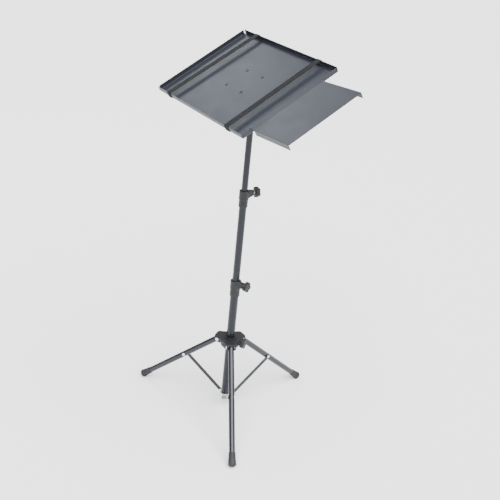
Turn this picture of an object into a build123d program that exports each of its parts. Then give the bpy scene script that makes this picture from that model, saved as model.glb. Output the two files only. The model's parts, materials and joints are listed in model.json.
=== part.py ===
from build123d import *
import os
from math import atan2, cos, degrees, hypot, radians, sin, sqrt

# Portable projector stand: a rimmed sheet-steel tray with a side shelf and two elastic straps,
# on a three-section telescopic mast that stands in a folding tripod.
# Millimetres, +Z up. The origin is on the floor, on the mast's axis.
# The tray's near edge, where the user stands, faces -Y, and the side shelf is on +X.

# Tray: a steel pan with four rims bent up and slit at the corners
tray_width = 465.0
tray_depth = 337.0
rim_height = 14.8
sheet = 1.5
bend_inside = 1.0
rim_foot = 4.0
corner_slit = 0.6
tilt_angle = 28.5
tilt_pivot_height = 1112.0
pivot_to_tray = 53.0
tray_shift_x = -6.0
tray_shift_y = -7.5
screw_spacing = 78.0
screw_radius = 2.5
screw_head_radius = 5.0
screw_length = 12.0

# Elastic straps round the tray
strap_width = 15.0
strap_thickness = 2.0
left_strap_place = -159.2
right_strap_place = 155.1

# Side shelf, hooked over the tray's right rim
shelf_width = 243.0
shelf_length = 165.0
shelf_neck = 17.5
shelf_shift = -16.5
shelf_rise_angle = 6.2
shelf_flange = 17.2
shelf_corner = 3.0
shelf_fold = 1.0
hook_lip = 11.0
clip_margin = 24.0
clip_leg = 12.0

# Mast: three round tubes, one inside the other
tube_wall = 1.2
lower_radius = 14.0
middle_radius = 12.0
upper_radius = 10.0
slide_gap = 0.3
lower_tube_bottom = 32.0
lower_clamp_top = 498.0
upper_clamp_top = 814.0
middle_tube_length = 440.0
upper_tube_length = 440.0

# Tube clamps: a sleeve on the wider tube, a ring above it and a tapered boss for the knob
lower_clamp_height = 57.0
upper_clamp_height = 55.0
clamp_wall = 2.4
clamp_ring_wall = 5.3
clamp_ring_height = 29.0
clamp_shoulder = 3.0
clamp_top_bevel = 2.0
clamp_socket = 28.0
boss_drop = 10.5
boss_root_height = 26.0
boss_root_width = 20.0
boss_tip_height = 18.0
boss_tip_width = 15.0
boss_reach = 30.0
boss_corner = 3.0
upper_knob_angle = 82.0
lower_knob_angle = 22.0

# Lobed knobs and their zinc studs
stud_radius = 4.0
stud_in_knob = 9.0
stud_showing = 6.0
knob_lobes = 5
knob_radius = 17.5
knob_root_radius = 12.5
knob_lobe_width = 12.0
knob_lobe_corner = 2.5
knob_thickness = 14.0
knob_bevel = 1.5

# Tripod
first_leg_angle = 92.4
leg_count = 3
hub_pivot_radius = 42.0
hub_pivot_height = 264.0
foot_reach = 331.0
leg_radius = 10.0
leg_wall = 1.5
leg_plug = 16.0
leg_crown = 7.0
brace_along_leg = 166.5
fold_stop = 1.0
collar_pivot_radius = 22.0
collar_pivot_height = 44.0

# Hub: a moulding with a thin roof, three clevises for the legs and a sleeve round the mast
hub_top_above_pin = 14.0
hub_roof = 3.4
hub_bottom_below_pin = 24.0
hub_lobe_radius = 53.0
hub_lobe_half_width = 16.5
hub_side_radius = 37.5
hub_plan_round = 9.0
hub_bowl_foot = 22.5
hub_bowl_waist = 32.0
hub_bowl_brim = 39.0
hub_bowl_waist_rise = 12.0
hub_sleeve_wall = 6.5
hub_collar_rise = 4.0
hub_edge_bevel = 1.2
hub_slot_gap = 0.4
hub_slot_root = 1.0
hub_knob_above_pin = 3.5
hub_boss_radius = 9.5
hub_boss_reach = 37.0
hub_knob_gap = 3.5
cheek_radius = 10.0
cheek_half_width = 15.5

# Rubber feet
foot_radius = 14.0
foot_length = 44.0
foot_floor = 8.0
foot_bevel = 6.0

# Braces, rivets and the zinc collar at the mast's lower end
brace_half_width = 6.0
brace_thickness = 3.0
brace_gap = 0.3
pin_radius = 4.0
rivet_radius = 3.0
rivet_end = 1.5
running_gap = 0.05
collar_radius = 17.5
collar_bottom = 30.0
collar_height = 22.0
ear_thickness = 2.8
ear_gap = 0.2

# Tilt head under the tray
head_half_width = 15.0
head_radius = 14.0
head_socket_wall = 3.5
head_socket_length = 40.0
head_socket_drop = 12.0
head_socket_cap = 6.0
bracket_plate = 100.0
bracket_corner = 8.0
bracket_sheet = 3.0
lug_gap = 1.0
lug_root_half_width = 30.0
tilt_bolt_radius = 4.0
tilt_bolt_head = 5.0
tilt_bolt_head_radius = 7.0
tilt_knob_gap = 1.0

# Places that follow from the sizes
leg_angles = [first_leg_angle + k * 360.0 / leg_count for k in range(leg_count)]
hub_knob_angle = first_leg_angle - 180.0 / leg_count
hub_top = hub_pivot_height + hub_top_above_pin
hub_bottom = hub_pivot_height - hub_bottom_below_pin
hub_knob_height = hub_pivot_height + hub_knob_above_pin
lug_inner = head_half_width + lug_gap
lug_outer = lug_inner + bracket_sheet
brace_plane = leg_radius + brace_gap
ear_low = ear_gap - brace_plane
ear_high = ear_low + ear_thickness
above = (Align.CENTER, Align.CENTER, Align.MIN)
below = (Align.CENTER, Align.CENTER, Align.MAX)

# The open leg's slope is found step by step, because the foot's low edge depends on the slope itself
leg_slope = radians(45)
for step in range(20):
    foot_end_height = foot_radius * cos(leg_slope) - foot_bevel * sin(leg_slope)
    leg_slope = atan2(hub_pivot_height - foot_end_height, foot_reach - hub_pivot_radius)
leg_length = (foot_reach - hub_pivot_radius) / cos(leg_slope)
brace_top_x = hub_pivot_radius + brace_along_leg * cos(leg_slope)
brace_top_z = hub_pivot_height - brace_along_leg * sin(leg_slope)
brace_run = brace_top_x - collar_pivot_radius
brace_rise = brace_top_z - collar_pivot_height
brace_length = hypot(brace_run, brace_rise)
brace_slope = atan2(brace_rise, brace_run)

os.makedirs("parts", exist_ok=True)
nodes = {}


def keep(name, shape):
    """Remember a finished piece under its name."""
    nodes[name] = shape


def turned(shape, angle):
    """Turn a piece about the mast's axis."""
    return Rot(0, 0, angle) * shape


def at_tilt_bolt(shape):
    """Place a piece that was drawn level, with the tilt bolt's middle as its origin."""
    return Pos(0, 0, tilt_pivot_height) * Rot(tilt_angle, 0, 0) * shape


def on_tray(shape):
    """Place a piece that was drawn level, with the middle of the tray's underside as its origin."""
    return at_tilt_bolt(Pos(tray_shift_x, tray_shift_y, pivot_to_tray) * shape)


def along_x(radius, start, end, z=0.0):
    """Round bar along X from start to end, at height z."""
    bar = Cylinder(radius, end - start, rotation=(0, 90, 0))
    return Pos((start + end) / 2, 0, z) * bar


def across(radius, low, high, x, z):
    """Round bar along Y from low to high, at x and z."""
    bar = Cylinder(radius, high - low, rotation=(90, 0, 0))
    return Pos(x, (low + high) / 2, z) * bar


def revolved(points):
    """Solid of revolution about Z from a closed outline of (radius, height) points."""
    outline = make_face(Plane.XZ * Polyline(*points, close=True))
    return revolve(outline, Axis.Z)


def four_corners(width, depth):
    """The four corners of a rectangle about the origin."""
    return [(sx * width / 2, sy * depth / 2) for sx in (-1, 1) for sy in (-1, 1)]


# Tray pan
def rim_profile():
    """Cross-section of the rim at +X: floor strip, bend and upright, its outer face at X = 0."""
    outer = Rectangle(rim_foot, rim_height, align=(Align.MAX, Align.MIN))
    hollow = Pos(-sheet, sheet) * Rectangle(rim_foot, rim_height, align=(Align.MAX, Align.MIN))
    profile = outer - hollow
    outer_corner = profile.vertices().sort_by_distance((0, 0, 0))[0]
    profile = fillet(outer_corner, bend_inside + sheet)
    inner_corner = profile.vertices().sort_by_distance((-sheet, sheet, 0))[0]
    return fillet(inner_corner, bend_inside)


def rim_along_x(length):
    """Rim that runs along X, its outer face at Y = 0 and facing -Y."""
    face = Plane.YZ * mirror(rim_profile(), about=Plane.YZ)
    return extrude(face, length / 2, both=True)


def tray_pan():
    """The tray: a flat sheet, four bent rims with slit corners, and countersunk screw holes."""
    pan = Box(tray_width - 2 * rim_foot, tray_depth - 2 * rim_foot, sheet, align=above)
    long_rim = rim_along_x(tray_width - 2 * (sheet + corner_slit))
    short_rim = rim_along_x(tray_depth - 2 * (rim_foot + corner_slit))
    pan += Pos(0, -tray_depth / 2, 0) * long_rim
    pan += Pos(0, tray_depth / 2, 0) * Rot(0, 0, 180) * long_rim
    pan += Pos(tray_width / 2, 0, 0) * Rot(0, 0, 90) * short_rim
    pan += Pos(-tray_width / 2, 0, 0) * Rot(0, 0, -90) * short_rim
    for x, y in four_corners(screw_spacing, screw_spacing):
        pan -= Pos(x, y, 0) * screw_head()
    return pan


def screw_head():
    """Countersunk head whose flat top is level with the sheet's upper face."""
    return Cone(screw_radius, screw_head_radius, sheet, align=above)


def tray_screws():
    """Four screws that hold the tray to its bracket."""
    screw = screw_head() + Cylinder(screw_radius, screw_length - sheet, align=below)
    return Compound(children=[Pos(x, y, 0) * screw for x, y in four_corners(screw_spacing, screw_spacing)])


# Straps
def strap(place):
    """Elastic band that runs over both rims and back under the sheet."""
    outer = Rectangle(tray_depth + 2 * strap_thickness, rim_height + 2 * strap_thickness)
    band = extrude(Plane.YZ * (outer - Rectangle(tray_depth, rim_height)), strap_width / 2, both=True)
    return Pos(place, 0, rim_height / 2) * band


# Side shelf
def shelf_leaf():
    """The shelf's plate with its two side flanges folded down, its near edge at X = 0."""
    half = shelf_width / 2
    blank = Rectangle(shelf_length, shelf_width, align=(Align.MIN, Align.CENTER))
    blank = chamfer(blank.vertices().group_by(Axis.X)[-1], shelf_corner)
    leaf = extrude(blank, sheet)
    flange = Box(shelf_length - shelf_corner, sheet, shelf_flange, align=(Align.MIN, Align.MIN, Align.MAX))
    leaf += Pos(0, -half, sheet) * flange
    leaf += Pos(0, half - sheet, sheet) * flange
    upper = leaf.edges().filter_by(Axis.X).group_by(Axis.Z)[-1].sort_by(Axis.Y)
    return fillet([upper[0], upper[-1]], shelf_fold)


def side_shelf():
    """The leaf, the neck that carries it over the tray's rim, and the lip inside the rim."""
    leaf = Pos(tray_width / 2 + shelf_neck, 0, rim_height) * Rot(0, -shelf_rise_angle, 0) * shelf_leaf()
    inner = tray_width / 2 - 2 * sheet
    neck = Box(shelf_neck + 2 * sheet, shelf_width, sheet, align=(Align.MIN, Align.CENTER, Align.MIN))
    lip = Box(sheet, shelf_width, hook_lip + sheet, align=(Align.MIN, Align.CENTER, Align.MAX))
    hook = Pos(inner, 0, rim_height) * neck + Pos(inner, 0, rim_height + sheet) * lip
    return Pos(0, shelf_shift, 0) * (leaf + hook)


def shelf_clip():
    """Angle strip under the neck that bears on the rim's outer face."""
    length = shelf_width - 2 * clip_margin
    upright = Box(sheet, length, clip_leg, align=(Align.MIN, Align.CENTER, Align.MAX))
    flat = Box(clip_leg, length, sheet, align=(Align.MIN, Align.CENTER, Align.MAX))
    return Pos(tray_width / 2, shelf_shift, rim_height) * (upright + flat)


# Bracket under the tray, and the tilt head on the upper tube
def bracket_lug():
    """Lug that stands square to X: wide under the plate and round about the tilt bolt."""
    top = pivot_to_tray - bracket_sheet
    web = Polyline(
        (-head_radius, 0),
        (head_radius, 0),
        (lug_root_half_width, top),
        (-lug_root_half_width, top),
        close=True,
    )
    face = make_face(web) + Circle(head_radius) - Circle(tilt_bolt_radius)
    return extrude(Plane.YZ * face, bracket_sheet, dir=(1, 0, 0))


def tray_bracket():
    """Plate under the tray with two lugs that hold the tilt bolt."""
    plate = Rectangle(bracket_plate, bracket_plate)
    plate = chamfer(plate.vertices(), bracket_corner)
    for x, y in four_corners(screw_spacing, screw_spacing):
        plate -= Pos(x, y) * Circle(screw_radius)
    plate = Pos(tray_shift_x, tray_shift_y, pivot_to_tray - bracket_sheet) * extrude(plate, bracket_sheet)
    return plate + Pos(lug_inner, 0, 0) * bracket_lug() + Pos(-lug_outer, 0, 0) * bracket_lug()


def tilt_head():
    """Head on the upper tube: a socket over the tube and a round eye for the tilt bolt."""
    socket_radius = upper_radius + head_socket_wall
    web_width = 2 * (head_half_width - head_socket_wall)
    head = Pos(0, 0, -head_socket_drop) * Cylinder(socket_radius, head_socket_length, align=below)
    head += along_x(head_radius, -head_half_width, head_half_width)
    head += Box(web_width, 2 * upper_radius, head_radius, align=below)
    bore_top = -head_socket_drop - head_socket_cap
    head -= Pos(0, 0, bore_top) * Cylinder(upper_radius, head_socket_length, align=below)
    head -= along_x(tilt_bolt_radius + running_gap, -lug_outer, lug_outer)
    return Pos(0, 0, tilt_pivot_height) * head


def tilt_bolt():
    """Bolt through the lugs and the head, its hexagon on the left and its end in the knob."""
    end = lug_outer + tilt_knob_gap + stud_in_knob
    hexagon = Plane.YZ * RegularPolygon(tilt_bolt_head_radius, 6)
    head = Pos(-lug_outer - tilt_bolt_head, 0, 0) * extrude(hexagon, tilt_bolt_head)
    return along_x(tilt_bolt_radius, -lug_outer, end) + head


# Lobed knob, drawn with its axis on +X and its inner face at X = 0
def knob():
    """Knob with straight-sided lobes and a blind bore for its stud."""
    outline = RegularPolygon(knob_root_radius, knob_lobes)
    for k in range(knob_lobes):
        lobe = Rectangle(knob_radius, knob_lobe_width, align=(Align.MIN, Align.CENTER))
        lobe = chamfer(lobe.vertices().group_by(Axis.X)[-1], knob_lobe_corner)
        outline += Rot(0, 0, k * 360.0 / knob_lobes) * lobe
    body = extrude(outline, knob_thickness)
    body = chamfer(body.edges().group_by(Axis.Z)[-1], knob_bevel)
    body -= Cylinder(stud_radius, stud_in_knob, align=above)
    return Rot(0, 90, 0) * body


def stud(tip, face):
    """Zinc stud from its tip to its end in the knob whose inner face is at X = face."""
    return along_x(stud_radius, tip, face + stud_in_knob)


# Mast tubes and clamps
def tube(radius, bottom, top):
    """Round steel tube along Z."""
    ring = Circle(radius) - Circle(radius - tube_wall)
    return Pos(0, 0, bottom) * extrude(ring, top - bottom)


def clamp_boss(inner, top):
    """Boss on +X that carries the stud, tapered both ways and bevelled along its edges."""
    root_top = top - clamp_top_bevel
    root_low = root_top - boss_root_height
    tip_low = top - boss_drop - boss_tip_height / 2
    tip_top = tip_low + boss_tip_height
    outer_end = (boss_reach, tip_low), (boss_reach, tip_top)
    side = Polyline((inner, root_low), *outer_end, (inner, root_top), close=True)
    plan = Polyline(
        (inner, -boss_root_width / 2),
        (boss_reach, -boss_tip_width / 2),
        (boss_reach, boss_tip_width / 2),
        (inner, boss_root_width / 2),
        close=True,
    )
    boss = extrude(Plane.XZ * make_face(side), boss_root_width, both=True)
    boss &= extrude(Plane.XY.offset(root_low) * make_face(plan), boss_root_height)
    long_edges = boss.edges().filter_by(lambda edge: edge.length > boss_reach - inner - boss_corner)
    long_edges = long_edges.filter_by(lambda edge: edge.center().X < boss_reach - boss_corner)
    return chamfer(long_edges.filter_by(lambda edge: edge.center().X > inner + boss_corner), boss_corner)


def clamp(carrier_radius, sliding_radius, top, height, angle):
    """Moulded clamp: sleeve on the wider tube, ring with the stud's boss, throat for the thinner tube."""
    bottom = top - height
    ring_low = top - clamp_ring_height
    sleeve = carrier_radius + clamp_wall
    ring = sliding_radius + slide_gap + clamp_ring_wall
    throat = sliding_radius + slide_gap
    body = revolved(
        [
            (0, bottom),
            (sleeve, bottom),
            (sleeve, ring_low - clamp_shoulder),
            (ring, ring_low),
            (ring, top - clamp_top_bevel),
            (ring - clamp_top_bevel, top),
            (0, top),
        ]
    )
    body += clamp_boss(throat, top)
    body -= Pos(0, 0, bottom) * Cylinder(throat, height, align=above)
    body -= Pos(0, 0, bottom) * Cylinder(carrier_radius, clamp_socket, align=above)
    body -= along_x(stud_radius, 0, boss_reach + stud_showing, z=top - boss_drop)
    return turned(body, angle)


def keep_clamp(name, carrier_radius, sliding_radius, top, height, angle):
    """Keep a clamp with its stud and its knob."""
    level = Pos(0, 0, top - boss_drop)
    face = boss_reach + stud_showing
    keep(f"{name}_clamp", clamp(carrier_radius, sliding_radius, top, height, angle))
    keep(f"{name}_clamp_stud", turned(level * stud(sliding_radius + slide_gap, face), angle))
    keep(f"{name}_clamp_knob", turned(level * Pos(face, 0, 0) * knob(), angle))


# Hub
def hub_plan(lobe, half_width, side, rounding):
    """Rounded plan of the hub: a short straight end at each leg and a hollowed side between legs."""
    outline = []
    for angle in leg_angles:
        start = Vector(lobe, -half_width).rotate(Axis.Z, angle)
        end = Vector(lobe, half_width).rotate(Axis.Z, angle)
        between = Vector(side, 0).rotate(Axis.Z, angle + 180.0 / leg_count)
        following = Vector(lobe, -half_width).rotate(Axis.Z, angle + 360.0 / leg_count)
        outline.append(Line(start, end))
        outline.append(ThreePointArc(end, between, following))
    face = make_face(outline)
    return fillet(face.vertices(), rounding)


def hub_bowl():
    """Bowl that draws the walls between the legs in from the roof to the sleeve."""
    ceiling = hub_top - hub_roof
    return revolved(
        [
            (0, hub_bottom),
            (hub_bowl_foot, hub_bottom),
            (hub_bowl_waist, hub_bottom + hub_bowl_waist_rise),
            (hub_bowl_brim, ceiling),
            (0, ceiling),
        ]
    )


def hub_cheeks():
    """Block that carries one leg: flat under the roof and round about the leg's pin."""
    low = hub_pivot_height - cheek_radius
    outer = hub_pivot_radius + cheek_radius
    ceiling = hub_top - hub_roof
    block = make_face(
        Plane.XZ
        * Polyline(
            (0, low),
            (hub_pivot_radius, low),
            (hub_pivot_radius, hub_pivot_height),
            (outer, hub_pivot_height),
            (outer, ceiling),
            (0, ceiling),
            close=True,
        )
    )
    pin_end = Plane.XZ * Pos(hub_pivot_radius, hub_pivot_height) * Circle(cheek_radius)
    return extrude(block + pin_end, cheek_half_width, both=True)


def leg_slot():
    """Slot under the roof in which one leg swings."""
    width = 2 * (leg_radius + hub_slot_gap)
    inner = hub_pivot_radius - leg_radius - hub_slot_root
    ceiling = hub_top - hub_roof
    slot = Box(hub_lobe_radius, width, ceiling, align=(Align.MIN, Align.CENTER, Align.MAX))
    return Pos(inner, 0, ceiling) * slot


def hub():
    """The hub with its leg slots, mast bore, pin bores, and the boss and bore for its stud."""
    ceiling = hub_top - hub_roof
    sleeve_height = hub_top + hub_collar_rise - hub_bottom
    plan = hub_plan(hub_lobe_radius, hub_lobe_half_width, hub_side_radius, hub_plan_round)
    roof = extrude(plan, hub_roof)
    roof = chamfer(roof.edges().group_by(Axis.Z)[-1], hub_edge_bevel)
    body = extrude(Pos(0, 0, hub_bottom) * plan, ceiling - hub_bottom) & hub_bowl()
    body += Pos(0, 0, ceiling) * roof
    body += Pos(0, 0, hub_bottom) * Cylinder(lower_radius + hub_sleeve_wall, sleeve_height, align=above)
    for angle in leg_angles:
        body += turned(hub_cheeks(), angle)
    body += turned(along_x(hub_boss_radius, 0, hub_boss_reach, z=hub_knob_height), hub_knob_angle)
    pin_bore = across(pin_radius, -hub_lobe_radius, hub_lobe_radius, hub_pivot_radius, hub_pivot_height)
    for angle in leg_angles:
        body -= turned(leg_slot(), angle)
        body -= turned(pin_bore, angle)
    body -= Pos(0, 0, hub_bottom) * Cylinder(lower_radius + slide_gap, sleeve_height, align=above)
    body -= turned(along_x(stud_radius, 0, hub_lobe_radius, z=hub_knob_height), hub_knob_angle)
    return body


# One leg's pieces, drawn in the leg's own plane: X outward, Z up
def place_on_leg(shape):
    """Place a piece drawn along +Z from the hub pin, so that it runs down the open leg."""
    return Pos(hub_pivot_radius, 0, hub_pivot_height) * Rot(0, 90 + degrees(leg_slope), 0) * shape


def leg():
    """Leg tube with a plugged, crowned upper end, bored for its pin and its rivet."""
    end = leg_length - foot_floor
    bore = leg_radius - leg_wall
    body = revolved(
        [
            (0, -leg_crown),
            (leg_crown, -leg_crown),
            (leg_radius, 0),
            (leg_radius, end),
            (bore, end),
            (bore, leg_plug),
            (0, leg_plug),
        ]
    )
    body -= across(pin_radius + running_gap, -foot_radius, foot_radius, 0, 0)
    body -= across(rivet_radius, -foot_radius, foot_radius, 0, brace_along_leg)
    return place_on_leg(body)


def foot():
    """Rubber cap on the leg's end, bevelled where it treads."""
    start = leg_length - foot_length
    seat = leg_length - foot_floor
    cap = revolved(
        [
            (leg_radius, start),
            (foot_radius, start),
            (foot_radius, leg_length - foot_bevel),
            (foot_radius - foot_bevel, leg_length),
            (0, leg_length),
            (0, seat),
            (leg_radius, seat),
        ]
    )
    return place_on_leg(cap)


def leg_pin():
    """Zinc pin through the hub's cheeks and the leg, riveted over at both ends."""
    end = cheek_half_width + rivet_end
    return across(pin_radius, -end, end, hub_pivot_radius, hub_pivot_height)


def leg_rivet():
    """Rivet through the leg where the brace meets it."""
    return across(rivet_radius, -leg_radius, leg_radius + rivet_end, brace_top_x, brace_top_z)


def brace():
    """Flat strip beside the leg, on its clockwise side as seen from above, with round ends."""
    middle = Pos((collar_pivot_radius + brace_top_x) / 2, (collar_pivot_height + brace_top_z) / 2)
    strip = SlotCenterToCenter(brace_length, 2 * brace_half_width, rotation=degrees(brace_slope))
    body = Pos(0, -brace_plane, 0) * extrude(Plane.XZ * middle * strip, brace_thickness)
    beside = -brace_plane - 2 * brace_thickness
    body -= across(rivet_radius + running_gap, beside, 0, collar_pivot_radius, collar_pivot_height)
    body -= across(rivet_radius, beside, 0, brace_top_x, brace_top_z)
    return body


def brace_rivet():
    """Rivet end that holds the brace's upper end."""
    outer = -brace_plane - brace_thickness - rivet_end
    return across(rivet_radius, outer, -brace_plane, brace_top_x, brace_top_z)


def collar_pin():
    """Pin on the collar's ear that the brace's lower end turns on."""
    outer = -brace_plane - brace_thickness - rivet_end
    return across(rivet_radius, outer, ear_high, collar_pivot_radius, collar_pivot_height)


def collar_ear():
    """Flat ear that stands out from the collar beside the leg's plane."""
    ear = across(brace_half_width, ear_low, ear_high, collar_pivot_radius, collar_pivot_height)
    root = Box(
        collar_pivot_radius, ear_thickness, 2 * brace_half_width, align=(Align.MIN, Align.MIN, Align.CENTER)
    )
    return ear + Pos(0, ear_low, collar_pivot_height) * root


def brace_collar():
    """Zinc collar that closes the mast's lower end, with an ear for each brace."""
    body = Pos(0, 0, collar_bottom) * Cylinder(collar_radius, collar_height, align=above)
    for angle in leg_angles:
        body += turned(collar_ear(), angle)
    body -= Pos(0, 0, lower_tube_bottom) * Cylinder(lower_radius, collar_height, align=above)
    bore = across(rivet_radius, -brace_plane, ear_high, collar_pivot_radius, collar_pivot_height)
    for angle in leg_angles:
        body -= turned(bore, angle)
    return body


# Build every piece
keep("tray_pan", on_tray(tray_pan()))
keep("tray_screws", on_tray(tray_screws()))
keep("strap_left", on_tray(strap(left_strap_place)))
keep("strap_right", on_tray(strap(right_strap_place)))
keep("side_shelf", on_tray(side_shelf()))
keep("shelf_clip", on_tray(shelf_clip()))
keep("tray_bracket", at_tilt_bolt(tray_bracket()))
keep("tilt_bolt", at_tilt_bolt(tilt_bolt()))
keep("tilt_knob", at_tilt_bolt(Pos(lug_outer + tilt_knob_gap, 0, 0) * knob()))
keep("tilt_head", tilt_head())

upper_tube_top = tilt_pivot_height - head_socket_drop - head_socket_cap
middle_tube_top = upper_clamp_top - upper_clamp_height + clamp_socket
lower_tube_top = lower_clamp_top - lower_clamp_height + clamp_socket
keep("upper_tube", tube(upper_radius, upper_tube_top - upper_tube_length, upper_tube_top))
keep("middle_tube", tube(middle_radius, middle_tube_top - middle_tube_length, middle_tube_top))
keep("lower_tube", tube(lower_radius, lower_tube_bottom, lower_tube_top))
keep_clamp("upper", middle_radius, upper_radius, upper_clamp_top, upper_clamp_height, upper_knob_angle)
keep_clamp("lower", lower_radius, middle_radius, lower_clamp_top, lower_clamp_height, lower_knob_angle)

hub_level = Pos(0, 0, hub_knob_height)
hub_knob_face = hub_boss_reach + hub_knob_gap
keep("hub", hub())
keep("hub_stud", turned(hub_level * stud(lower_radius + slide_gap, hub_knob_face), hub_knob_angle))
keep("hub_knob", turned(hub_level * Pos(hub_knob_face, 0, 0) * knob(), hub_knob_angle))
keep("brace_collar", brace_collar())
for number, angle in enumerate(leg_angles, start=1):
    keep(f"leg_{number}", turned(leg(), angle))
    keep(f"foot_{number}", turned(foot(), angle))
    keep(f"leg_pin_{number}", turned(leg_pin(), angle))
    keep(f"leg_rivet_{number}", turned(leg_rivet(), angle))
    keep(f"brace_{number}", turned(brace(), angle))
    keep(f"brace_rivet_{number}", turned(brace_rivet(), angle))
    keep(f"collar_pin_{number}", turned(collar_pin(), angle))

for name, shape in nodes.items():
    export_step(shape, f"parts/{name}.step")

# The fold, for the joints: how far the hub rises and how far legs and braces turn.
# It stops a little before the legs stand upright, so that the feet stay clear of the collar.
leg_turn = 90 - fold_stop - degrees(leg_slope)
folded_slope = radians(90 - fold_stop)
folded_run = hub_pivot_radius + brace_along_leg * cos(folded_slope) - collar_pivot_radius
folded_rise = sqrt(brace_length**2 - folded_run**2)
folded_pivot_height = collar_pivot_height + folded_rise + brace_along_leg * sin(folded_slope)
print("hub travel", folded_pivot_height - hub_pivot_height)
print("leg turn", leg_turn)
print("brace turn", degrees(atan2(folded_rise, folded_run) - brace_slope))
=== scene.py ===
# %% [markdown]
# A portable projector stand, dressed for its portrait.
# The real object is a rimmed sheet-steel tray on a telescopic mast in a folding tripod.
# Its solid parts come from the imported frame, already at their real size and place.
# These cells only add what a camera sees: light, finishes, webbing, rivet heads, screw faces,
# round knobs, threads and flared feet.
# Everything is in metres: Z is up, -Y is the user's side and +X is the side shelf's side.

import json
from math import cos, pi, radians, sin

import bpy
from mathutils import Matrix, Vector


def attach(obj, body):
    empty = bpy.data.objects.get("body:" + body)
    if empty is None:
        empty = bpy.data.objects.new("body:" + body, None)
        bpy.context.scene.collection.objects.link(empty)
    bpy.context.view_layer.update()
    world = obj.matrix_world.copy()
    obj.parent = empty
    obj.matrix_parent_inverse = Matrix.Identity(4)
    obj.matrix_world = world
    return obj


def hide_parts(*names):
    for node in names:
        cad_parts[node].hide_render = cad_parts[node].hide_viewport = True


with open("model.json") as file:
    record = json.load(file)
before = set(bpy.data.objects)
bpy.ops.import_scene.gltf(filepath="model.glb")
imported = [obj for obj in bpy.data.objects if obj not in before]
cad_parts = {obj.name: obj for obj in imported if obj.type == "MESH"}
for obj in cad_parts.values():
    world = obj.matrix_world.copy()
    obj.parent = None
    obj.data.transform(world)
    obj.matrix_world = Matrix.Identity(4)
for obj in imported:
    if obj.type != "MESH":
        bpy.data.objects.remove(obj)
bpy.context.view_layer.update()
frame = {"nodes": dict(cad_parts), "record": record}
nodes = frame["nodes"]
scene = bpy.context.scene

# %% [markdown]
# The camera comes first, because every later choice is judged through it.
# A camera could be tried by eye, but this one was worked out from points measured in the photo:
# where the lens stood, which way it looked and how far the picture leans.
# A short list of named numbers is easier to read, and to correct, than a matrix.

# %% Camera
camera_place = Vector((1.9209, -1.3591, 1.7768))
camera_heading = radians(143.85)
camera_dip = radians(26.356)
camera_lean = radians(5.837)
photo_width = 500
focal_pixels = 823.0


def aim_camera(place, heading, dip, lean):
    """Turn a heading, a downward dip and a sideways lean into the camera's place and axes."""
    forward = Vector((cos(dip) * cos(heading), cos(dip) * sin(heading), -sin(dip)))
    level = Vector((sin(heading), -cos(heading), 0))
    upright = level.cross(forward)
    right = cos(lean) * level + sin(lean) * upright
    up = cos(lean) * upright - sin(lean) * level
    axes = Matrix((right, up, -forward)).transposed()
    return Matrix.Translation(place) @ axes.to_4x4()


camera_data = bpy.data.cameras.new("photo_camera")
camera_data.sensor_width = 36.0
camera_data.lens = focal_pixels * camera_data.sensor_width / photo_width
camera = bpy.data.objects.new("photo_camera", camera_data)
scene.collection.objects.link(camera)
camera.matrix_world = aim_camera(camera_place, camera_heading, camera_dip, camera_lean)
scene.camera = camera
print("camera:", round(camera_data.lens, 1), "mm lens")

# %% [markdown]
# The studio is a plain pale floor under a pale sky, as in a catalogue picture.
# A dark glossy object is drawn by what it reflects, so wide soft sources matter most.
# A very wide overhead light works like a softbox: it whitens the floor and lays a soft
# streak along each leg. One small lamp, off to the side away from the shelf, adds some shape.

# %% Floor, sky and lamps


def floor_sheet(size):
    """A plain square floor centred under the stand."""
    mesh = bpy.data.meshes.new("floor")
    half = size / 2
    corners = [(-half, -half, 0), (half, -half, 0), (half, half, 0), (-half, half, 0)]
    mesh.from_pydata(corners, [], [(0, 1, 2, 3)])
    sheet = bpy.data.objects.new("floor", mesh)
    scene.collection.objects.link(sheet)
    return sheet


def add_lamp(name, place, target, size, power):
    """A square lamp that looks from its place to its target."""
    data = bpy.data.lights.new(name, "AREA")
    data.size = size
    data.energy = power
    lamp = bpy.data.objects.new(name, data)
    scene.collection.objects.link(lamp)
    lamp.location = place
    lamp.rotation_euler = (Vector(target) - Vector(place)).to_track_quat("-Z", "Y").to_euler()
    return lamp


def add_wide_light(name, towards, spread_angle, strength):
    """A light so far away that it is only a direction, and as wide as spread_angle in the sky."""
    data = bpy.data.lights.new(name, "SUN")
    data.angle = spread_angle
    data.energy = strength
    light = bpy.data.objects.new(name, data)
    scene.collection.objects.link(light)
    light.rotation_euler = Vector(towards).to_track_quat("Z", "Y").to_euler()
    return light


def white_paper():
    """Matt white floor whose tone drifts a little from place to place."""
    material = bpy.data.materials.new("floor_paper")
    material.use_nodes = True
    tree = material.node_tree
    shader = tree.nodes["Principled BSDF"]
    cloud = tree.nodes.new("ShaderNodeTexNoise")
    cloud.inputs["Scale"].default_value = clouds_per_metre
    tone = tree.nodes.new("ShaderNodeMix")
    tone.data_type = "RGBA"
    tone.inputs["A"].default_value = (*paper_tones[0], 1)
    tone.inputs["B"].default_value = (*paper_tones[1], 1)
    tree.links.new(cloud.outputs["Fac"], tone.inputs["Factor"])
    tree.links.new(tone.outputs["Result"], shader.inputs["Base Color"])
    shader.inputs["Roughness"].default_value = paper_roughness
    shader.inputs["Specular IOR Level"].default_value = paper_gloss
    return material


floor_size = 30.0
clouds_per_metre = 3.0
paper_tones = ((0.90, 0.90, 0.90), (0.92, 0.92, 0.92))
paper_roughness = 0.9
paper_gloss = 0.1
floor = floor_sheet(floor_size)
floor.data.materials.append(white_paper())

sky_colour = (0.93, 0.96, 1.0)
sky_strength = 0.85
sky = bpy.data.worlds.new("studio_sky")
sky.use_nodes = True
background = sky.node_tree.nodes["Background"]
background.inputs["Color"].default_value = (*sky_colour, 1)
background.inputs["Strength"].default_value = sky_strength
scene.world = sky

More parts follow.
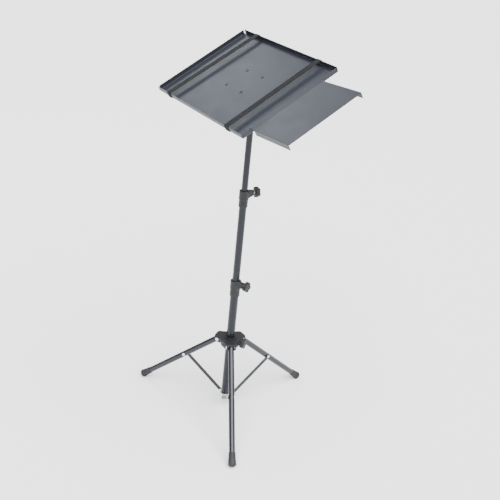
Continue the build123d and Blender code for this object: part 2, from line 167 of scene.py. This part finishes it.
tray_middle = (0, 0, 1.15)
key_place = (-2.6, 0.25, 2.85)
key_size = 0.75
key_power = 17
key_colour = (0.88, 0.93, 1.0)
key = add_lamp("key_lamp", key_place, tray_middle, key_size, key_power)
key.data.color = key_colour

overhead_towards = (0.45, -0.13, 0.86)
overhead_width = radians(70)
overhead_strength = 9.0
overhead = add_wide_light("overhead_light", overhead_towards, overhead_width, overhead_strength)
print("studio: floor, sky,", key.name, "and", overhead.name)

# %% [markdown]
# Finishes are mixed from noise, so that no surface is one flat colour.
# Each noise is sized in real millimetres: orange peel on powder coat is about a millimetre,
# while the slow drift of a paint's tone is as wide as a hand.
# One helper makes the noise, one joins it to a range, and each finish is then a short recipe.

# %% Helpers for finishes


def start_finish(name):
    """A new material, with its node tree, its shader and its object coordinates."""
    material = bpy.data.materials.new(name)
    material.use_nodes = True
    tree = material.node_tree
    shader = tree.nodes["Principled BSDF"]
    place = tree.nodes.new("ShaderNodeTexCoord").outputs["Object"]
    return material, tree, shader, place


def noise(tree, place, size_mm, detail):
    """Noise whose lumps are about size_mm across, with some levels of finer detail."""
    texture = tree.nodes.new("ShaderNodeTexNoise")
    texture.inputs["Scale"].default_value = 1000.0 / size_mm
    texture.inputs["Detail"].default_value = detail
    tree.links.new(place, texture.inputs["Vector"])
    return texture.outputs["Fac"]


def spread(tree, value, low, high, start=0.3, end=0.7):
    """Map a noise value from start..end to low..high."""
    node = tree.nodes.new("ShaderNodeMapRange")
    node.inputs["From Min"].default_value = start
    node.inputs["From Max"].default_value = end
    node.inputs["To Min"].default_value = low
    node.inputs["To Max"].default_value = high
    tree.links.new(value, node.inputs["Value"])
    return node.outputs["Result"]


def tint(tree, value, dark, light):
    """Mix two colours by a value."""
    node = tree.nodes.new("ShaderNodeMix")
    node.data_type = "RGBA"
    node.inputs["A"].default_value = (*dark, 1)
    node.inputs["B"].default_value = (*light, 1)
    tree.links.new(value, node.inputs["Factor"])
    return node.outputs["Result"]


def soft_edges(tree, radius_mm):
    """Normals that round every sharp edge by a small radius, as paint does."""
    node = tree.nodes.new("ShaderNodeBevel")
    node.samples = 4
    node.inputs["Radius"].default_value = radius_mm / 1000
    return node.outputs["Normal"]


def relief(tree, height, depth_mm, normal=None):
    """Bump of a given depth in millimetres over the surface, on top of another normal."""
    node = tree.nodes.new("ShaderNodeBump")
    node.inputs["Strength"].default_value = 1.0
    node.inputs["Distance"].default_value = depth_mm / 1000
    tree.links.new(height, node.inputs["Height"])
    if normal is not None:
        tree.links.new(normal, node.inputs["Normal"])
    return node.outputs["Normal"]


# %% [markdown]
# Paint and plastic edges are painted lighter: a painted highlight where light catches the rounded
# edges.
# There is no image texture for it here. Instead the shader asks how far the rounded
# normal leans away from the true face: it leans only close to an edge, so the lean is the mask.

# %% Painted edge highlights
full_lean = 0.80
no_lean = 0.99
broken_between = (0.42, 0.62)


def edge_highlight_mask(tree, reach_mm, breakup):
    """Mask of the painted edge highlight: white near sharp edges, broken up by noise, black on
    flat faces.
    """
    rounded = soft_edges(tree, reach_mm)
    face = tree.nodes.new("ShaderNodeNewGeometry").outputs["Normal"]
    lean = tree.nodes.new("ShaderNodeVectorMath")
    lean.operation = "DOT_PRODUCT"
    tree.links.new(rounded, lean.inputs[0])
    tree.links.new(face, lean.inputs[1])
    near_edge = spread(tree, lean.outputs["Value"], 1, 0, start=full_lean, end=no_lean)
    painted_edge_light = tree.nodes.new("ShaderNodeMath")
    painted_edge_light.operation = "MULTIPLY"
    tree.links.new(near_edge, painted_edge_light.inputs[0])
    tree.links.new(spread(tree, breakup, 0, 1, *broken_between), painted_edge_light.inputs[1])
    return painted_edge_light.outputs["Value"]


def highlighted(tree, base, mask, highlight_colour):
    """Mix a base colour towards a lighter colour where the mask is white: a painted highlight."""
    node = tree.nodes.new("ShaderNodeMix")
    node.data_type = "RGBA"
    node.inputs["B"].default_value = (*highlight_colour, 1)
    tree.links.new(base, node.inputs["A"])
    tree.links.new(mask, node.inputs["Factor"])
    return node.outputs["Result"]


print("worn edges: mask ready")

# %% [markdown]
# Powder coat covers the tray, the shelf and the bracket. It is a baked plastic skin on steel:
# dark, half matt, with a fine orange peel that breaks up reflections.
# The tubes wear a smoother paint, made by the same recipe with shallower bumps.
# The legs get a glossier coat of it, so that light lies along them as a long streak.

# %% Painted steel


def painted_steel(name, dark, light, rough, peel_mm, peel_depth_mm, gloss):
    """Dark paint on steel, with tone drift, orange peel, paint-rounded edges and a painted edge
    highlight.
    """
    material, tree, shader, place = start_finish(name)
    drift = noise(tree, place, tone_drift_mm, detail=3)
    base = tint(tree, spread(tree, drift, 0, 1), dark, light)
    fleck = noise(tree, place, highlight_fleck_mm, detail=4)
    # The edges are painted lighter than the paint: a painted highlight where light catches them.
    painted_edge_light = [3 * tone + 0.02 for tone in light]
    coloured = highlighted(tree, base, edge_highlight_mask(tree, highlight_reach_mm, fleck), painted_edge_light)
    tree.links.new(coloured, shader.inputs["Base Color"])
    smear = noise(tree, place, gloss_smear_mm, detail=3)
    tree.links.new(spread(tree, smear, *rough), shader.inputs["Roughness"])
    peel = noise(tree, place, peel_mm, detail=2)
    bumps = relief(tree, peel, peel_depth_mm, normal=soft_edges(tree, paint_corner_mm))
    tree.links.new(bumps, shader.inputs["Normal"])
    shader.inputs["Specular IOR Level"].default_value = gloss
    return material


tone_drift_mm = 140
highlight_fleck_mm = 2.2
highlight_reach_mm = 0.8
gloss_smear_mm = 60
paint_corner_mm = 0.7

sheet_paint = painted_steel(
    "sheet_paint",
    dark=(0.008, 0.010, 0.016),
    light=(0.010, 0.012, 0.019),
    rough=(0.44, 0.48),
    peel_mm=1.1,
    peel_depth_mm=0.012,
    gloss=0.5,
)
tube_paint = painted_steel(
    "tube_paint",
    dark=(0.005, 0.006, 0.011),
    light=(0.007, 0.008, 0.014),
    rough=(0.24, 0.30),
    peel_mm=2.0,
    peel_depth_mm=0.010,
    gloss=0.32,
)
leg_paint = painted_steel(
    "leg_paint",
    dark=(0.005, 0.006, 0.011),
    light=(0.007, 0.008, 0.014),
    rough=(0.13, 0.18),
    peel_mm=2.0,
    peel_depth_mm=0.008,
    gloss=0.46,
)
brace_paint = painted_steel(
    "brace_paint",
    dark=(0.004, 0.004, 0.005),
    light=(0.007, 0.007, 0.008),
    rough=(0.38, 0.48),
    peel_mm=1.4,
    peel_depth_mm=0.015,
    gloss=0.5,
)
print("painted steel:", sheet_paint.name, tube_paint.name, leg_paint.name, brace_paint.name)

# %% [markdown]
# The hub, clamps and knobs are moulded nylon. Nylon parts have a fine spark-eroded grain,
# a broad sheen and slight sinks where the walls are thick.

# %% Moulded nylon and rubber


def moulded(name, dark, light, rough, grain_mm, grain_depth_mm):
    """Moulded plastic or rubber: even colour, a painted edge highlight, fine grain and slow
    shallow sinks.
    """
    material, tree, shader, place = start_finish(name)
    cloud = noise(tree, place, cloud_mm, detail=4)
    base = tint(tree, spread(tree, cloud, 0, 1), dark, light)
    # The edges are painted lighter than the plastic: a painted highlight where light catches them.
    painted_edge_light = [2.5 * tone + 0.01 for tone in light]
    coloured = highlighted(tree, base, edge_highlight_mask(tree, moulded_highlight_mm, cloud), painted_edge_light)
    tree.links.new(coloured, shader.inputs["Base Color"])
    tree.links.new(spread(tree, cloud, *rough), shader.inputs["Roughness"])
    swell = noise(tree, place, sink_mm, detail=1)
    sinks = relief(tree, swell, sink_depth_mm, normal=soft_edges(tree, moulded_corner_mm))
    shader.inputs["Specular IOR Level"].default_value = moulded_gloss
    grain = relief(tree, noise(tree, place, grain_mm, detail=2), grain_depth_mm, normal=sinks)
    tree.links.new(grain, shader.inputs["Normal"])
    return material


cloud_mm = 14
moulded_highlight_mm = 0.9
sink_mm = 18
sink_depth_mm = 0.12
moulded_corner_mm = 0.8
moulded_gloss = 0.32

moulded_black = moulded(
    "moulded_black",
    dark=(0.009, 0.009, 0.010),
    light=(0.014, 0.014, 0.015),
    rough=(0.58, 0.42),
    grain_mm=0.5,
    grain_depth_mm=0.03,
)
foot_rubber = moulded(
    "foot_rubber",
    dark=(0.012, 0.012, 0.013),
    light=(0.020, 0.020, 0.021),
    rough=(0.72, 0.55),
    grain_mm=0.7,
    grain_depth_mm=0.05,
)
print("moulded:", moulded_black.name, foot_rubber.name)

# %% [markdown]
# Rivets, pins, studs and the lower collar are bright zinc. Zinc plating is a metal with
# a slightly cloudy, faintly blue and yellow skin, so its colour drifts and its gloss is uneven.

# %% Bright zinc and black screws


def plated(name, cool, warm, rough):
    """Plated metal with a drifting tint and fine tumbling marks."""
    material, tree, shader, place = start_finish(name)
    shader.inputs["Metallic"].default_value = 1.0
    drift = noise(tree, place, tint_drift_mm, detail=4)
    tree.links.new(tint(tree, spread(tree, drift, 0, 1), cool, warm), shader.inputs["Base Color"])
    marks = noise(tree, place, tumble_mark_mm, detail=3)
    tree.links.new(spread(tree, marks, *rough), shader.inputs["Roughness"])
    dents = relief(tree, marks, tumble_depth_mm, normal=soft_edges(tree, plated_corner_mm))
    tree.links.new(dents, shader.inputs["Normal"])
    return material


tint_drift_mm = 6
tumble_mark_mm = 1.2
tumble_depth_mm = 0.02
plated_corner_mm = 0.4

zinc = plated(
    "zinc",
    cool=(0.70, 0.72, 0.76),
    warm=(0.78, 0.76, 0.72),
    rough=(0.24, 0.40),
)
screw_black = plated(
    "screw_black",
    cool=(0.035, 0.035, 0.038),
    warm=(0.06, 0.058, 0.055),
    rough=(0.35, 0.5),
)
print("plated:", zinc.name, screw_black.name)

# %% [markdown]
# The straps are elastic webbing. Rubber cords run along the band and show as fine ribs,
# and the polyester thread that crosses them gives small steps between the ribs.
# Two wave patterns make this weave: one counts across the band, the other along it.
# The second adds the height to the distance, so that it also runs down the rims.

# %% Elastic webbing


def bands(tree, value, period_mm):
    """Stripes of a given period, from 0 to 1 and back, along a plain distance in metres."""
    turns = tree.nodes.new("ShaderNodeMath")
    turns.operation = "MULTIPLY"
    turns.inputs[1].default_value = 2 * pi * 1000 / period_mm
    tree.links.new(value, turns.inputs[0])
    wave = tree.nodes.new("ShaderNodeMath")
    wave.operation = "SINE"
    tree.links.new(turns.outputs["Value"], wave.inputs[0])
    return spread(tree, wave.outputs["Value"], 0, 1, start=-1, end=1)


def combined(tree, kind, first, second):
    """One value from two, by a plain sum or product."""
    node = tree.nodes.new("ShaderNodeMath")
    node.operation = kind
    tree.links.new(first, node.inputs[0])
    tree.links.new(second, node.inputs[1])
    return node.outputs["Value"]


rib_mm = 1.25
pick_mm = 0.9
pick_floor = 0.55
lint_mm = 0.5
lint_floor = 0.6
weave_depth_mm = 0.25
webbing_rough = (0.80, 0.95)
webbing_gloss = 0.2
fibre_sheen = 0.06
fibre_sheen_rough = 0.5


def elastic_webbing(name, dark, light):
    """Ribbed black elastic with fine cross threads and a soft fibre sheen."""
    material, tree, shader, place = start_finish(name)
    split = tree.nodes.new("ShaderNodeSeparateXYZ")
    tree.links.new(place, split.inputs["Vector"])
    along = combined(tree, "ADD", split.outputs["Y"], split.outputs["Z"])
    ribs = bands(tree, split.outputs["X"], rib_mm)
    picks = bands(tree, along, pick_mm)
    steps = spread(tree, picks, pick_floor, 1.0, start=0, end=1)
    weave = combined(tree, "MULTIPLY", ribs, steps)
    lint = noise(tree, place, lint_mm, detail=4)
    shade = combined(tree, "MULTIPLY", weave, spread(tree, lint, lint_floor, 1.0))
    tree.links.new(tint(tree, shade, dark, light), shader.inputs["Base Color"])
    tree.links.new(spread(tree, lint, *webbing_rough), shader.inputs["Roughness"])
    shader.inputs["Specular IOR Level"].default_value = webbing_gloss
    shader.inputs["Sheen Weight"].default_value = fibre_sheen
    shader.inputs["Sheen Roughness"].default_value = fibre_sheen_rough
    tree.links.new(relief(tree, weave, weave_depth_mm), shader.inputs["Normal"])
    return material


webbing = elastic_webbing("webbing", dark=(0.002, 0.002, 0.003), light=(0.007, 0.007, 0.011))
print("webbing:", webbing.name)

# %% [markdown]
# Each solid part takes the finish of its material slot, and the legs the glossier paint.
# Only the finish changes here: the meshes themselves stay exactly as they were packed.

# %% Dress the solid parts
finish_of_slot = {
    "sheet_paint": sheet_paint,
    "tube_paint": tube_paint,
    "brace_paint": brace_paint,
    "moulded_black": moulded_black,
    "foot_rubber": foot_rubber,
    "zinc": zinc,
    "screw_black": screw_black,
    "webbing": webbing,
}
for part in frame["record"]["subparts"]:
    piece = nodes[part["node"]]
    piece.data.materials.clear()
    finish = finish_of_slot[part["material_slot"]]
    is_leg = part["node"] in ("leg_1", "leg_2", "leg_3")
    piece.data.materials.append(leg_paint if is_leg else finish)
print("dressed:", len(nodes), "solid parts")

# %% [markdown]
# Every new piece is a mesh made from rings of points. A ring can be the cross-section of a band
# or one circle of a turned part, so one helper that skins rings serves them all.
# A piece then takes its place, its finish, the body that it rides on and its material slot.
# Its place is moved into the mesh, because the box round a turned object comes out too large.
# The straps keep their own axes instead, so that their weave runs along the band.

# %% Helpers for new pieces
mm = 0.001


def skin(name, rings, closed_path=False, capped=False):
    """Mesh between equal rings of points, one strip of quads after another."""
    count = len(rings[0])
    points = [point for ring in rings for point in ring]
    faces = []
    strips = len(rings) if closed_path else len(rings) - 1
    for i in range(strips):
        here = i * count
        there = (i + 1) % len(rings) * count
        for j in range(count):
            k = (j + 1) % count
            faces.append((here + j, here + k, there + k, there + j))
    if capped:
        faces.append(tuple(reversed(range(count))))
        faces.append(tuple(range(len(points) - count, len(points))))
    mesh = bpy.data.meshes.new(name)
    mesh.from_pydata(points, [], faces)
    mesh.validate()
    return mesh


def add_piece(name, mesh, place, slot, body, smooth_angle=radians(40), keep_own_axes=False):
    """Link a mesh as a piece at its place, with the slot's finish, riding on a body."""
    piece = bpy.data.objects.new(name, mesh)
    scene.collection.objects.link(piece)
    if keep_own_axes:
        piece.matrix_world = place
    else:
        mesh.transform(place)
    mesh.materials.append(finish_of_slot[slot])
    mesh.shade_smooth()
    mesh.set_sharp_from_angle(angle=smooth_angle)
    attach(piece, body)
    return piece


def turned_rings(outline, steps=32, radius_at=None):
    """Rings about Z from an outline of (radius, height) in millimetres."""
    rings = []
    for radius, height in outline:
        ring = []
        for i in range(steps):
            angle = 2 * pi * i / steps
            reach = radius * (radius_at(angle) if radius_at else 1.0)
            ring.append((reach * cos(angle) * mm, reach * sin(angle) * mm, height * mm))
        rings.append(ring)
    return rings


print("helpers: skin, add_piece, turned_rings")

# %% [markdown]
# The tray leans on its tilt bolt, so everything on it is drawn level and then moved together.
# These few sizes repeat the solid model's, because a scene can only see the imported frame.

# %% The tray's own frame
tray_depth = 337.0
rim_height = 14.8
sheet_thickness = 1.5
tilt_bolt_at = Vector((0, 0, 1112.0))
tilt_angle = radians(28.5)
tray_offset = Vector((-6.0, -7.5, 53.0))
tilt_bolt_place = Matrix.Translation(tilt_bolt_at * mm) @ Matrix.Rotation(tilt_angle, 4, "X")
tray_place = tilt_bolt_place @ Matrix.Translation(tray_offset * mm)
print("tray frame:", [round(v, 4) for v in tray_place.translation])

# %% [markdown]
# A strap is one long band of elastic, sewn into a loop that grips the tray.
# Cloth simulation would be the way for slack fabric, but a stretched band is straight between
# the rims and bends only over them, so its path is known and the band can be swept along it.
# The two straps sit slightly askew, as hands leave them.

# %% Elastic straps
band_width = 21.0
band_thickness = 1.5
band_bend = 1.4
band_clearance = 0.15
band_ribs = 16
band_rib_share = 0.14
band_edge_roundness = 14
band_edge_share = 0.12
strap_places = {"left": (-163.0, -155.5), "right": (157.5, 152.7)}


def band_path(steps=6):
    """Points (y, z) and outward directions round the tray, with rounded corners."""
    half = tray_depth / 2 + band_clearance + band_thickness / 2
    low = -band_clearance - band_thickness / 2
    high = rim_height + band_clearance + band_thickness / 2
    corners = [(-half, low, 180), (half, low, 270), (half, high, 0), (-half, high, 90)]
    path = []
    for y, z, start in corners:
        centre_y = y - band_bend * (1 if y > 0 else -1)
        centre_z = z - band_bend * (1 if z > 0 else -1)
        for i in range(steps + 1):
            angle = radians(start + 90 * i / steps)
            out_y = centre_y + band_bend * cos(angle)
            out_z = centre_z + band_bend * sin(angle)
            path.append((out_y, out_z, angle))
    return path


def with_more_points(path, pitch=6.0):
    """Add points along the straight runs, so that no face is very long."""
    longer = []
    for i, (y, z, angle) in enumerate(path):
        next_y, next_z, _ = path[(i + 1) % len(path)]
        steps = max(1, int(abs(next_y - y) / pitch))
        for k in range(steps):
            part = k / steps
            longer.append((y + (next_y - y) * part, z + (next_z - z) * part, angle))
    return longer


def band_section():
    """Half-thickness of the band across its width: rounded edges and fine ribs."""
    count = 4 * band_ribs
    section = []
    for i in range(count + 1):
        across = -1 + 2 * i / count
        edge = max(0.0, 1 - abs(across) ** band_edge_roundness) ** 0.5
        wave = cos(pi * band_ribs * (across + 1) - pi)
        rib = 1 - band_rib_share + band_rib_share * wave
        half = max(band_edge_share, edge * rib) * band_thickness / 2
        section.append((across * band_width / 2, half))
    return section


def strap_rings(near_x, far_x, path):
    """Sweep the band's section along a path, sliding sideways from near_x to far_x."""
    section = band_section()
    outline = section + [(across, -half) for across, half in reversed(section)]
    rings = []
    for y, z, angle in path:
        middle = near_x + (far_x - near_x) * (y + tray_depth / 2) / tray_depth
        ring = []
        for across, offset in outline:
            out_y = y + offset * cos(angle)
            out_z = z + offset * sin(angle)
            ring.append(((middle + across) * mm, out_y * mm, out_z * mm))
        rings.append(ring)
    return rings


strap_loop = with_more_points(band_path())
for side, (near_x, far_x) in strap_places.items():
    name = f"webbing_{side}"
    mesh = skin(name, strap_rings(near_x, far_x, strap_loop), closed_path=True)
    strap = add_piece(name, mesh, tray_place, "webbing", "tray", radians(60), keep_own_axes=True)
    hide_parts(f"strap_{side}")

# %% [markdown]
# Pins and rivets are closed by a press that spreads their ends into low domes.
# A dome is turned: a short outline of radii and heights, swept round its axis.
# A real rivet also shows the press's small flat, so the outline ends in one.

# %% Domed heads of pins and rivets
leg_angles = [radians(92.4 + 120 * k) for k in range(3)]
hub_pin_at = (42.0, 264.0)
brace_pin_at = (166.3, 153.23)
collar_pin_at = (22.0, 44.0)
cheek_face = 15.5
leg_face = 8.6
brace_face = 13.3
pin_dome = (6.4, 2.6)
leg_rivet_dome = (5.6, 3.9)
brace_rivet_dome = (5.4, 2.4)
collar_dome = (5.0, 2.2)
rim_share = 0.22


def domed_head(radius, height):
    """Rings of a low dome with a soft rim and a small pressed flat."""
    outline = [(radius, 0), (radius, height * rim_share)]
    for i in range(1, 8):
        lift = radians(90 * i / 8)
        rise = rim_share + (1 - rim_share) * sin(lift)
        outline.append((radius * cos(lift) ** 0.75, height * rise))
    outline.append((radius * 0.12, height * 0.97))
    return turned_rings(outline, steps=28)


def beside_leg(angle, spot, face, side):
    """Place on the side of a leg: Z of the new piece points away from the leg's plane."""
    along, height = spot
    turn = Matrix.Rotation(angle, 4, "Z")
    shift = Matrix.Translation((along * mm, side * face * mm, height * mm))
    return turn @ shift @ Matrix.Rotation(radians(-90 * side), 4, "X")


heads = []
for number, angle in enumerate(leg_angles, start=1):
    leg_body = f"leg_body_{number}"
    brace_body = f"brace_body_{number}"
    plan = [
        (f"pin_head_{number}_a", hub_pin_at, cheek_face, 1, pin_dome, "hub_body"),
        (f"pin_head_{number}_b", hub_pin_at, cheek_face, -1, pin_dome, "hub_body"),
        (f"leg_rivet_head_{number}", brace_pin_at, leg_face, 1, leg_rivet_dome, leg_body),
        (f"brace_rivet_head_{number}", brace_pin_at, brace_face, -1, brace_rivet_dome, brace_body),
        (f"collar_pin_head_{number}", collar_pin_at, brace_face, -1, collar_dome, "lower_mast"),
    ]
    for name, spot, face, side, dome, body in plan:
        mesh = skin(name, domed_head(*dome), capped=True)
        heads.append(add_piece(name, mesh, beside_leg(angle, spot, face, side), "zinc", body))
print("heads:", len(heads), "domes")

# %% [markdown]
# Four screws hold the tray to its bracket. Their heads are low ovals with a cross recess.
# A boolean cut would do, but a fine disc whose height is a formula stays clean:
# the dome falls away to the rim, and sinks where a point lies inside the cross.

# %% Tray screw heads
screw_spacing = 78.0
oval_radius = 5.0
oval_height = 1.15
cross_half_width = 0.65
cross_reach = 2.7
cross_depth_share = 0.92


def oval_height_at(x, y):
    """Height of the screw's face: an oval dome with a tapered cross sunk in it."""
    radius = (x * x + y * y) ** 0.5 / oval_radius
    dome = oval_height * (1 - min(radius, 1.0) ** 2)
    narrow, long = sorted((abs(x), abs(y)))
    into_slot = 1 - narrow / cross_half_width
    into_reach = 1 - long / cross_reach
    sink = max(0.0, min(1.0, 3 * min(into_slot, 2 * into_reach)))
    return dome * (1 - cross_depth_share * sink)


def oval_head(rings=26, steps=64):
    """Disc of rings whose height follows the formula, closed by a flat base."""
    layers = [turned_rings([(oval_radius, -0.2)], steps)[0]]
    for i in range(rings):
        radius = oval_radius * (1 - i / rings)
        ring = []
        for k in range(steps):
            x = radius * cos(2 * pi * k / steps)
            y = radius * sin(2 * pi * k / steps)
            ring.append((x * mm, y * mm, oval_height_at(x, y) * mm))
        layers.append(ring)
    return layers


screw_corners = ((-1, -1), (1, -1), (1, 1), (-1, 1))
for number, (side_x, side_y) in enumerate(screw_corners, start=1):
    name = f"tray_screw_head_{number}"
    spot = Vector((side_x * screw_spacing / 2, side_y * screw_spacing / 2, sheet_thickness)) * mm
    driven_to = Matrix.Rotation(radians(17 + 41 * number), 4, "Z")
    place = tray_place @ Matrix.Translation(spot) @ driven_to
    mesh = skin(name, oval_head(), capped=True)
    add_piece(name, mesh, place, "screw_black", "tray", radians(55))
print("screw heads:", len(screw_corners))

# %% [markdown]
# The knobs are moulded grips with five lobes, so that wet fingers can still turn them.
# A fine groove round the lobes is the line where the mould's two halves meet.
# Their solids have straight lobes. The mesh that stands for each one has the moulder's
# round lobes: every ring's radius is a smooth wave of its angle, and a dished face ends it.

# %% Lobed knobs
knob_radius = 17.5
knob_valley = 12.6
knob_lobes = 5


def lobed(angle):
    """Share of the knob's full radius at an angle: broad lobes and narrow valleys."""
    wave = (0.5 + 0.5 * cos(knob_lobes * angle)) ** 0.55
    return (knob_valley + (knob_radius - knob_valley) * wave) / knob_radius


def part_lobed(share):
    """A radius that is only partly lobed: 0 is round, 1 is the full grip."""
    return lambda angle: 1 + share * (lobed(angle) - 1)


def knob_rings():
    """Rings of the knob from its neck to its dished face."""
    base_edge = [(0.90, 0.0), (0.965, 0.5), (1.0, 1.8)]
    mould_line = [(1.0, 6.6), (0.99, 7.0), (1.0, 7.4)]
    shoulder = [(1.0, 12.0), (0.975, 13.2), (0.92, 13.9)]
    dish = [(0.84, 14.0, 0.95), (0.70, 13.7, 0.7), (0.60, 13.0, 0.4), (0.52, 12.6, 0.2)]
    ring_groove = [(0.44, 12.5), (0.42, 12.6)]
    cap = [(0.40, 13.6), (0.37, 14.0), (0.20, 14.0), (0.17, 13.6), (0.06, 13.6)]
    profile = [(share, height, 1.0) for share, height in base_edge + mould_line + shoulder]
    profile += dish
    profile += [(share, height, 0.0) for share, height in ring_groove + cap]
    rings = []
    for share, height, lobes in profile:
        outline = [(share * knob_radius, height)]
        rings += turned_rings(outline, steps=100, radius_at=part_lobed(lobes))
    return rings


def off_mast(angle, reach, height):
    """Place on the side of the mast: Z of the new piece points away from the mast."""
    turn = Matrix.Rotation(radians(angle), 4, "Z")
    shift = Matrix.Translation((reach * mm, 0, height * mm))
    return turn @ shift @ Matrix.Rotation(radians(90), 4, "Y")


lower_knob = {"angle": 22.0, "height": 487.5}
upper_knob = {"angle": 82.0, "height": 803.5}
hub_knob = {"angle": 32.4, "height": 267.5}
clamp_boss_reach = 30.0
clamp_stud_shows = 6.0
hub_boss_reach = 37.0
hub_stud_shows = 3.5
tilt_knob_reach = 20.0
clamp_knob_reach = clamp_boss_reach + clamp_stud_shows
hub_knob_reach = hub_boss_reach + hub_stud_shows
along_bolt = off_mast(angle=0, reach=tilt_knob_reach, height=0)
knobs = {
    "lower_clamp_knob": (off_mast(reach=clamp_knob_reach, **lower_knob), "lower_mast"),
    "upper_clamp_knob": (off_mast(reach=clamp_knob_reach, **upper_knob), "middle_mast"),
    "hub_knob": (off_mast(reach=hub_knob_reach, **hub_knob), "hub_body"),
    "tilt_knob": (tilt_bolt_place @ along_bolt, "tray"),
}
for node, (place, body) in knobs.items():
    mesh = skin(f"grip_{node}", knob_rings(), capped=True)
    grip = add_piece(f"grip_{node}", mesh, place, "moulded_black", body, radians(50))
    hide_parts(node)
print("knobs:", len(knobs))

# %% [markdown]
# Between a knob and its boss a few turns of the zinc stud show. Its thread is a real helix:
# one ridge section follows a rising circle, so that the turns join as cut threads do.

# %% Threads on the studs
thread_pitch = 1.25


def thread_mesh(name, length, radius=3.95, depth=0.5, steps=24):
    """A ridge wound round the stud from its start to its end."""
    turns = length / thread_pitch - 1
    rings = []
    count = int(turns * steps)
    for i in range(count + 1):
        angle = 2 * pi * i / steps
        fade = min(1.0, i / steps, (count - i) / steps)
        rise = thread_pitch * (i / steps + 0.5)
        ring = []
        for out, shift in ((0, -0.55), (fade * depth, -0.08), (fade * depth, 0.08), (0, 0.55)):
            reach = radius + out
            ring.append((reach * cos(angle) * mm, reach * sin(angle) * mm, (rise + shift) * mm))
        rings.append(ring)
    return skin(name, rings, capped=True)


studs = [
    ("lower_clamp_thread", lower_knob, clamp_boss_reach, clamp_stud_shows, "lower_mast"),
    ("upper_clamp_thread", upper_knob, clamp_boss_reach, clamp_stud_shows, "middle_mast"),
    ("hub_thread", hub_knob, hub_boss_reach, hub_stud_shows, "hub_body"),
]
for name, knob, reach, length, body in studs:
    place = off_mast(reach=reach, **knob)
    add_piece(name, thread_mesh(name, length), place, "zinc", body, radians(25))
print("threads:", len(studs))

# %% [markdown]
# The rubber feet are pushed onto the leg ends. Each one flares from a thin mouth to a wide,
# slanted tread, and its moulder adds a rolled lip and two shallow grip grooves.
# The solid foot is a plain cap, so a turned shape with the real flare stands for it.
# Its tread follows the solid's bevel, because that is what stands on the floor.

# %% Rubber feet
foot_reach = 331.0
hub_pivot_radius, hub_pivot_height = hub_pin_at
leg_slope = radians(41.706)
leg_length = (foot_reach - hub_pivot_radius) / cos(leg_slope)
foot_radius = 14.0
foot_length = 44.0
foot_bevel = 6.0
flare_start = 11.1
flare_power = 1.6
tread_step = 0.15
groove_places = (16.0, 20.5)
groove_depth = 0.55


def foot_outline():
    """Radii and distances down the leg: lip, flare with two grooves, and the slanted tread."""
    mouth = leg_length - foot_length
    lip = [(10.05, 0.6), (10.7, 0.0), (11.5, 0.5), (11.8, 1.6), (11.4, 3.0)]
    outline = [(radius, mouth + down) for radius, down in lip]
    lip_end = lip[-1][1]
    flare_end = foot_length - foot_bevel
    steps = 48
    for i in range(1, steps):
        down = lip_end + (flare_end - lip_end - 1.0) * i / steps
        share = (down / flare_end) ** flare_power
        radius = flare_start + (foot_radius - tread_step - flare_start) * share
        for place in groove_places:
            radius -= groove_depth * max(0.0, 1 - abs(down - place)) ** 0.5
        outline.append((radius, mouth + down))
    outline.append((foot_radius, leg_length - foot_bevel - 0.4))
    outline.append((foot_radius, leg_length - foot_bevel))
    outline.append((foot_radius - foot_bevel + 0.3, leg_length - 0.3))
    outline.append((foot_radius - foot_bevel - 0.5, leg_length))
    outline.append((2.0, leg_length - 0.4))
    return outline


def down_leg(angle):
    """Place whose Z runs down the open leg from the hub's pin."""
    turn = Matrix.Rotation(angle, 4, "Z")
    pin = Matrix.Translation((hub_pivot_radius * mm, 0, hub_pivot_height * mm))
    return turn @ pin @ Matrix.Rotation(radians(90) + leg_slope, 4, "Y")


for number, angle in enumerate(leg_angles, start=1):
    name = f"flared_foot_{number}"
    mesh = skin(name, turned_rings(foot_outline(), steps=56), capped=True)
    shoe = add_piece(name, mesh, down_leg(angle), "foot_rubber", f"leg_body_{number}")
    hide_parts(f"foot_{number}")
print("feet:", len(leg_angles), "flared caps")
